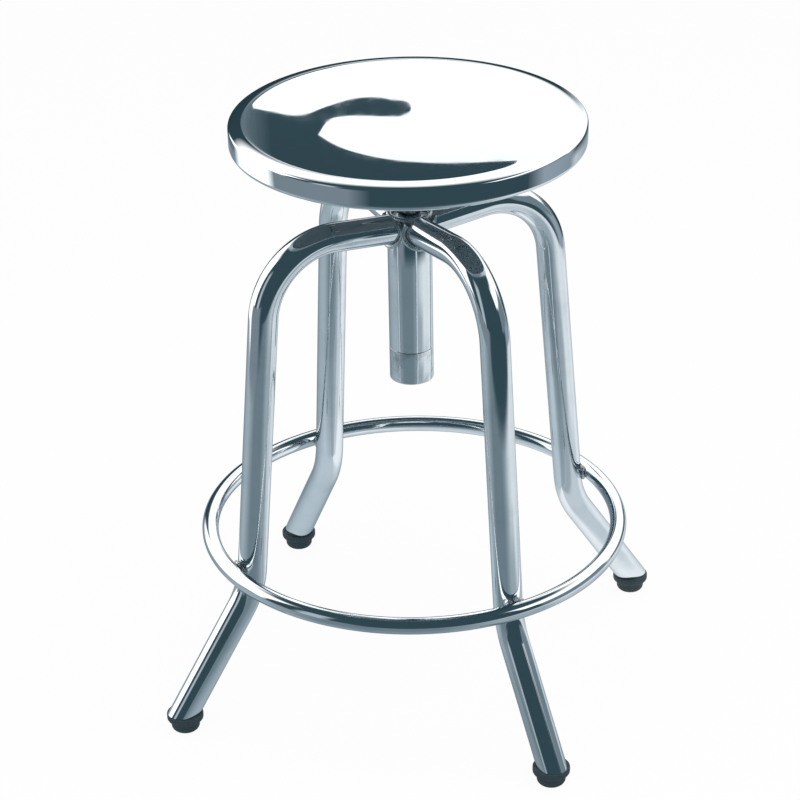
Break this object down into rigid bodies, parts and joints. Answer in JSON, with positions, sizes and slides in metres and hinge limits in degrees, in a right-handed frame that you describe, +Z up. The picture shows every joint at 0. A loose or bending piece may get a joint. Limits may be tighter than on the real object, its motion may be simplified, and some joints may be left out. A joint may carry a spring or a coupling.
{
  "type": "round stool",
  "caption": "Round backless stool: a shallow dished metal seat on a screw spindle over bent tube legs, with a foot ring and rubber feet. The seat rises as it turns.",
  "frame": {"origin": "on the floor, on the axis of the column and seat", "axes": "+Z up along the column; the legs lie along +X, +Y, -X and -Y"},
  "size_m": [0.498, 0.498, 0.527],
  "materials": {
    "polished_stainless": "mirror polished",
    "weld_bead": "wire-brushed weld",
    "machined_steel": "turned and lightly oiled",
    "zinc_plated_steel": "zinc plated",
    "black_paint": "satin black paint on steel",
    "white_nylon": "turned nylon",
    "plywood": "black-stained plywood",
    "black_rubber": "matt moulded rubber"
  },
  "bodies": {
    "frame": {"column_tube": "polished_stainless", "column_end_cup": "polished_stainless", "spindle_nut": "machined_steel", "leg_right": "polished_stainless", "leg_back": "polished_stainless", "leg_left": "polished_stainless", "leg_front": "polished_stainless", "hub_weld_right": "weld_bead", "hub_weld_back": "weld_bead", "hub_weld_left": "weld_bead", "hub_weld_front": "weld_bead", "rim_weld": "weld_bead", "foot_ring": "polished_stainless", "ring_weld_right": "weld_bead", "ring_weld_back": "weld_bead", "ring_weld_left": "weld_bead", "ring_weld_front": "weld_bead", "foot_right": "black_rubber", "foot_back": "black_rubber", "foot_left": "black_rubber", "foot_front": "black_rubber"},
    "guide": {"guide_bush": "white_nylon"},
    "seat": {"seat_shell": "polished_stainless", "seat_board": "plywood", "mounting_plate": "black_paint", "plate_screw_1": "zinc_plated_steel", "plate_screw_2": "zinc_plated_steel", "plate_screw_3": "zinc_plated_steel", "plate_screw_4": "zinc_plated_steel", "spindle": "machined_steel", "spindle_weld": "weld_bead", "end_washer": "zinc_plated_steel", "end_bolt": "zinc_plated_steel"}
  },
  "joints": [
    {"name": "seat_lift", "type": "slide", "parent": "frame", "child": "guide", "axis": [0, 0, 1], "range_m": [0, 0.096]},
    {"name": "seat_turn", "type": "hinge", "parent": "guide", "child": "seat", "pos_m": [0, 0, 0.438], "axis": [0, 0, 1], "range_deg": [0, 5760]}
  ],
  "couplings": [
    {"joint": "seat_lift", "follows": "seat_turn", "m_per_rad": 0.00095493}
  ]
}
